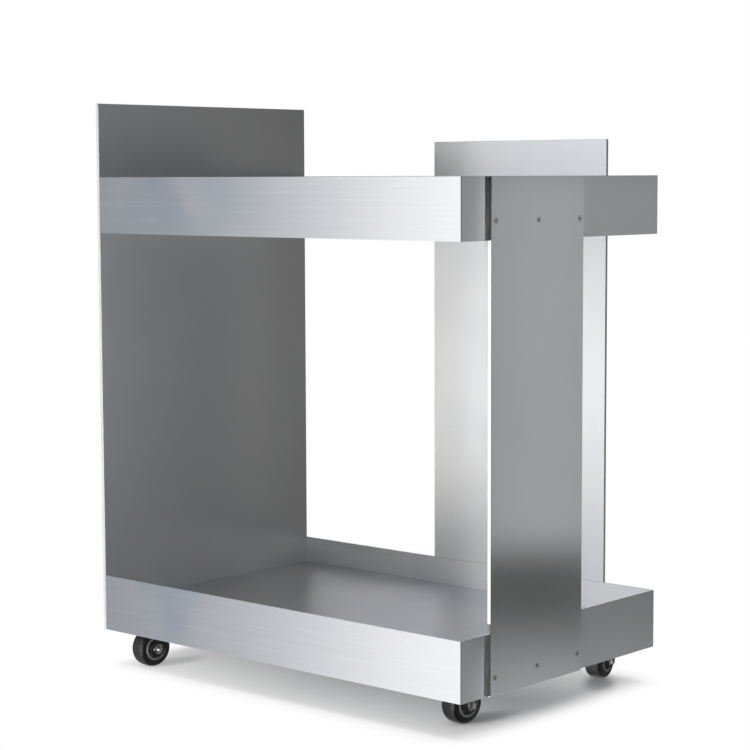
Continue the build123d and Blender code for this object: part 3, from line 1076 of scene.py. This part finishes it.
def seen_rays(tree):
    """1 on camera, glossy and transmission rays, and 0 on the rest."""
    path = add_node(tree, "ShaderNodeLightPath").outputs
    seen = calculate(tree, "MAXIMUM", path["Is Camera Ray"], path["Is Glossy Ray"])
    return calculate(tree, "MAXIMUM", seen, path["Is Transmission Ray"])


def light_world(fill):
    """A white surround that lights the object softly all round, and most from the front left."""
    world = bpy.data.worlds.new("White Surround")
    world.use_nodes = True
    tree = world.node_tree
    tree.nodes.clear()
    way = add_node(tree, "ShaderNodeTexCoord").outputs["Generated"]
    ahead = measure(tree, "DOT_PRODUCT", way, FILL_SIDE.normalized())["Value"]
    sided = ramped(tree, ahead, -1.0, 1.0, *(fill * share for share in FILL_RANGE))
    strength = ramped(tree, seen_rays(tree), 0.0, 1.0, sided, 1.0)
    surround = result_of(tree, "ShaderNodeBackground", {"Color": WHITE, "Strength": strength})
    add_node(tree, "ShaderNodeOutputWorld", {"Surface": surround})
    bpy.context.scene.world = world


def wheel_shadow(tree, place, corner):
    """How much of the white is left on the floor round the wheel at that corner.

    The white is painted light, and taking it off paints the wheel's shadow.
    """
    x, y, _ = JOINTS[f"{corner}_wheel_spin"]["pos_m"]
    row, end = corner.split("_")
    way = WHEEL_SHADOW_WAYS[row]
    spread = result_of(
        tree,
        "ShaderNodeMapping",
        {
            "Vector": place,
            "Location": Vector((x, y, 0.0)) + way * WHEEL_SHADOW_SHIFT,
            "Rotation": (0.0, 0.0, math.atan2(way.y, way.x)),
            "Scale": WHEEL_SHADOW_REACH,
        },
        vector_type="TEXTURE",
    )
    reached = measure(tree, "LENGTH", spread)["Value"]
    return smooth_step(tree, reached, WHEEL_SHADOW_CORE, 1.0, WHEEL_SHADOW_SHARES[end], 1.0)


def floor_material(colour):
    """A pale floor that keeps the shadow under the trolley and runs out to white around it.

    White mixed in by place is painted light, which lightens the real shadow and shapes it.
    """
    material, tree = new_material("Pale Floor")
    place = add_node(tree, "ShaderNodeTexCoord").outputs["Object"]
    low, high = CAD_BOX
    half = (high.x - SHADOW_INSETS[0], high.y - SHADOW_INSETS[1], 1.0)
    folded = measure(tree, "ABSOLUTE", place)[0]
    past = measure(tree, "SUBTRACT", folded, half)[0]
    outside = measure(tree, "MAXIMUM", past, (0.0, 0.0, 0.0))[0]
    far = smooth_step(tree, measure(tree, "LENGTH", outside)["Value"], 0.0, SHADOW_FADE)
    # Painted white light: more towards the front, back and left, less at each wheel.
    ends = smooth_step(tree, axes_of(tree, folded)["Y"], 0.0, high.y, *SHADOW_SHARES)
    left = ramped(tree, axes_of(tree, place)["X"], 0.0, low.x, 0.0, SHADOW_LEFT)
    share = calculate(tree, "ADD", ends, left)
    for corner in CORNERS:
        share = calculate(tree, "MULTIPLY", share, wheel_shadow(tree, place, corner))
    glow = ramped(tree, far, 0.0, 1.0, share, 1.0)
    shown = calculate(tree, "MULTIPLY", glow, seen_rays(tree))
    lit = result_of(tree, "ShaderNodeBsdfDiffuse", {"Color": rgba(colour)})
    white = result_of(tree, "ShaderNodeEmission", {"Color": WHITE, "Strength": 1.0})
    surface = result_of(tree, "ShaderNodeMixShader", {0: shown, 1: lit, 2: white})
    add_node(tree, "ShaderNodeOutputMaterial", {"Surface": surface})
    return material


# What the metal mirrors far off: bearing from +X in degrees, and the colour of the studio there.
SURROUND = (
    (-180.0, (0.25, 0.26, 0.28)),
    (-155.0, (0.16, 0.17, 0.18)),
    (-141.0, (0.3, 0.32, 0.35)),
    (-136.5, (0.38, 0.4, 0.43)),
    (-133.0, (0.49, 0.51, 0.54)),
    (-130.0, (1.1, 1.1, 1.1)),
    (-128.5, (2.2, 2.2, 2.2)),
    (-125.5, (1.15, 1.15, 1.15)),
    (-100.0, (1.2, 1.2, 1.2)),
    (-78.0, (0.4, 0.4, 0.4)),
    (-66.0, (0.03, 0.03, 0.03)),
    (-20.0, (0.03, 0.03, 0.03)),
    (45.0, (0.2, 0.2, 0.2)),
    (90.0, (0.28, 0.28, 0.29)),
    (130.0, (0.53, 0.54, 0.56)),
    (150.0, (0.28, 0.29, 0.31)),
    (180.0, (0.25, 0.26, 0.28)),
)
# The same for a card as far off as the camera, bright only towards the trolley's front.
FRONT_CARD = (
    (-80.0, (5.5, 5.3, 5.0)),
    (-61.0, (5.5, 5.3, 5.0)),
    (-58.0, (4.4, 4.2, 4.0)),
    (-56.0, (1.3, 1.25, 1.2)),
    (-54.0, (0.2, 0.2, 0.2)),
    (-51.0, (0.0, 0.0, 0.0)),
    (-46.0, (0.0, 0.0, 0.0)),
    (-38.0, (0.12, 0.12, 0.12)),
    (-15.0, (0.3, 0.3, 0.3)),
)
# The same for a card close by, round the right end.
SIDE_CARD = (
    (-30.0, (0.06, 0.06, 0.06)),
    (15.0, (0.1, 0.1, 0.1)),
    (32.5, (0.29, 0.29, 0.29)),
    (34.3, (0.31, 0.31, 0.31)),
    (35.0, (0.57, 0.57, 0.57)),
    (41.8, (0.58, 0.58, 0.58)),
    (42.7, (0.32, 0.32, 0.32)),
    (49.4, (0.31, 0.31, 0.31)),
    (51.0, (0.16, 0.158, 0.155)),
    (66.0, (0.17, 0.168, 0.164)),
    (76.0, (0.08, 0.08, 0.08)),
    (100.0, (0.06, 0.06, 0.06)),
)
# Darker stretches of both cards: the heights where each one starts, is full, is still full and
# ends, and its depth.
FRONT_SHADES = (
    (-1.7, -1.6, 0.1, 0.45, 0.16),
    (0.58, 0.66, 2.6, 2.7, 0.96),
)
SIDE_SHADES = (
    (-0.25, -0.045, -0.025, 0.075, 0.93),
    (0.62, 0.72, 2.0, 2.1, 0.46),
)
# The bearings where the side card's darker stretches start, are full, are still full and end, and
# how much of them is left beyond.
SIDE_FADE = (33.4, 34.2, 42.2, 43.0, 0.4)
# Radius and height of the rings that each of these walls goes through, and how many sides it has.
SURROUND_RINGS = ((0.5, -6.0), (10.0, -6.0), (10.0, 8.0), (0.5, 8.0))
FRONT_RINGS = ((2.75, -1.5), (2.75, 2.5))
SIDE_RINGS = ((1.2, -0.7), (1.2, 1.4))
WALL_SIDES = 120


def bearing_glow(name, stops, shades=(), fade=None):
    """Colours set out by bearing round the trolley, and darker over stretches of its height."""
    material, tree = new_material(name)
    axes = axes_of(tree, add_node(tree, "ShaderNodeTexCoord").outputs["Object"])
    bearing = calculate(tree, "ARCTAN2", axes["Y"], axes["X"])
    first, last = stops[0], stops[-1]
    turn = ramped(tree, bearing, math.radians(first[0]), math.radians(last[0]))
    ramp = add_node(tree, "ShaderNodeValToRGB", {"Fac": turn})
    elements = ramp.color_ramp.elements
    elements[0].color, elements[1].color = rgba(first[1]), rgba(last[1])
    for degrees, colour in stops[1:-1]:
        elements.new((degrees - first[0]) / (last[0] - first[0])).color = rgba(colour)
    strength = kept = 1.0
    if fade:
        *edges, left = fade
        inside = within(tree, bearing, *map(math.radians, edges))
        kept = calculate(tree, "MULTIPLY_ADD", inside, 1.0 - left, left)
    for *heights, depth in shades:
        darkened = calculate(tree, "MULTIPLY", within(tree, axes["Z"], *heights), kept)
        passed = calculate(tree, "MULTIPLY_ADD", darkened, -depth, 1.0)
        strength = calculate(tree, "MULTIPLY", passed, strength)
    light = {"Color": ramp.outputs["Color"], "Strength": strength}
    glow = result_of(tree, "ShaderNodeEmission", light)
    add_node(tree, "ShaderNodeOutputMaterial", {"Surface": glow})
    material.cycles.emission_sampling = "NONE"
    return material


def stage_mesh(name, points, faces, material):
    """A mesh of the stage with that material."""
    mesh = bpy.data.meshes.new(name)
    mesh.from_pydata(points, [], faces)
    mesh.materials.append(material)
    made = new_object(name, mesh)
    return made


def mirrored_wall(name, label, stops, rings, **darker):
    """A wall over the bearings of those stops, which only reflections show."""
    start, end = stops[0][0], stops[-1][0]
    turns = [
        math.radians(start + (end - start) * side / WALL_SIDES) for side in range(WALL_SIDES + 1)
    ]
    points = [
        (radius * math.cos(turn), radius * math.sin(turn), z)
        for radius, z in rings
        for turn in turns
    ]
    starts = [
        level * len(turns) + side for level in range(len(rings) - 1) for side in range(WALL_SIDES)
    ]
    faces = [(at, at + 1, at + 1 + len(turns), at + len(turns)) for at in starts]
    wall = stage_mesh(name, points, faces, bearing_glow(label, stops, **darker))
    wall.visible_camera = False
    wall.visible_diffuse = False
    wall.visible_shadow = False


FLOOR_REACH = 15.0
KEY_PLACE = Vector((-0.8, 0.2, 2.8))
KEY_SIZE = 2.2
FRAME_WIDTH = 36.0


class TROLLEY_OT_studio(bpy.types.Operator):
    """Set the floor, the light and the camera"""

    bl_idname = "trolley.studio"
    bl_label = "Studio"

    def execute(self, context):
        scene, studio = context.scene, context.scene.trolley_studio
        sides = ((-1, -1), (1, -1), (1, 1), (-1, 1))
        corners = [(x * FLOOR_REACH, y * FLOOR_REACH, 0.0) for x, y in sides]
        floor = stage_mesh("floor", corners, [(0, 1, 2, 3)], floor_material(studio.floor))
        floor.visible_glossy = False
        mirrored_wall("surround", "Studio Surround", SURROUND, SURROUND_RINGS)
        mirrored_wall("front_card", "Front Card", FRONT_CARD, FRONT_RINGS, shades=FRONT_SHADES)
        mirrored_wall(
            "side_card", "Side Card", SIDE_CARD, SIDE_RINGS, shades=SIDE_SHADES, fade=SIDE_FADE
        )
        light_world(studio.fill)
        key = bpy.data.lights.new("key", "AREA")
        key.energy = studio.key_power
        key.shape = "SQUARE"
        key.size = KEY_SIZE
        lamp = new_object("key", key)
        lamp.location = KEY_PLACE
        lamp.rotation_euler = (-KEY_PLACE).to_track_quat("-Z", "Y").to_euler()
        lamp.visible_camera = False
        lamp.visible_glossy = False
        optics = bpy.data.cameras.new("camera")
        optics.sensor_width = FRAME_WIDTH
        optics.lens = studio.lens
        camera = new_object("camera", optics)
        camera.location = studio.camera_place
        camera.rotation_euler = studio.camera_turn
        scene.camera = camera
        scene.view_settings.view_transform = "Standard"
        return {"FINISHED"}


SETTINGS = {
    "trolley_sheet": TrolleySheet,
    "trolley_fasteners": TrolleyFasteners,
    "trolley_castors": TrolleyCastors,
    "trolley_studio": TrolleyStudio,
}
STEPS = (
    TROLLEY_OT_trays,
    TROLLEY_OT_panels,
    TROLLEY_OT_rails,
    TROLLEY_OT_screws,
    TROLLEY_OT_castors,
    TROLLEY_OT_studio,
)


class TROLLEY_PT_sidebar(bpy.types.Panel):
    """Lists the trolley's settings and steps"""

    bl_idname = "TROLLEY_PT_sidebar"
    bl_label = "Serving Trolley"
    bl_space_type = "VIEW_3D"
    bl_region_type = "UI"
    bl_category = "Trolley"

    def draw(self, context):
        for name in SETTINGS:
            group = getattr(context.scene, name)
            box = self.layout.box()
            for prop in group.bl_rna.properties:
                if prop.identifier not in {"rna_type", "name"}:
                    box.prop(group, prop.identifier)
        for step in STEPS:
            self.layout.operator(step.bl_idname)


CLASSES = (*SETTINGS.values(), *STEPS, TROLLEY_PT_sidebar)


def register():
    """Adds the classes, and the settings of a scene."""
    for cls in CLASSES:
        bpy.utils.register_class(cls)
    for name, cls in SETTINGS.items():
        setattr(bpy.types.Scene, name, PointerProperty(type=cls))


def unregister():
    """Takes the settings and the classes away again."""
    for name in SETTINGS:
        delattr(bpy.types.Scene, name)
    for cls in reversed(CLASSES):
        bpy.utils.unregister_class(cls)


def main():
    """Makes the trolley step by step."""
    register()
    bpy.ops.trolley.trays()
    bpy.ops.trolley.panels()
    bpy.ops.trolley.rails()
    bpy.ops.trolley.screws()
    bpy.ops.trolley.castors()
    bpy.ops.trolley.studio()


if __name__ == "__main__":
    main()
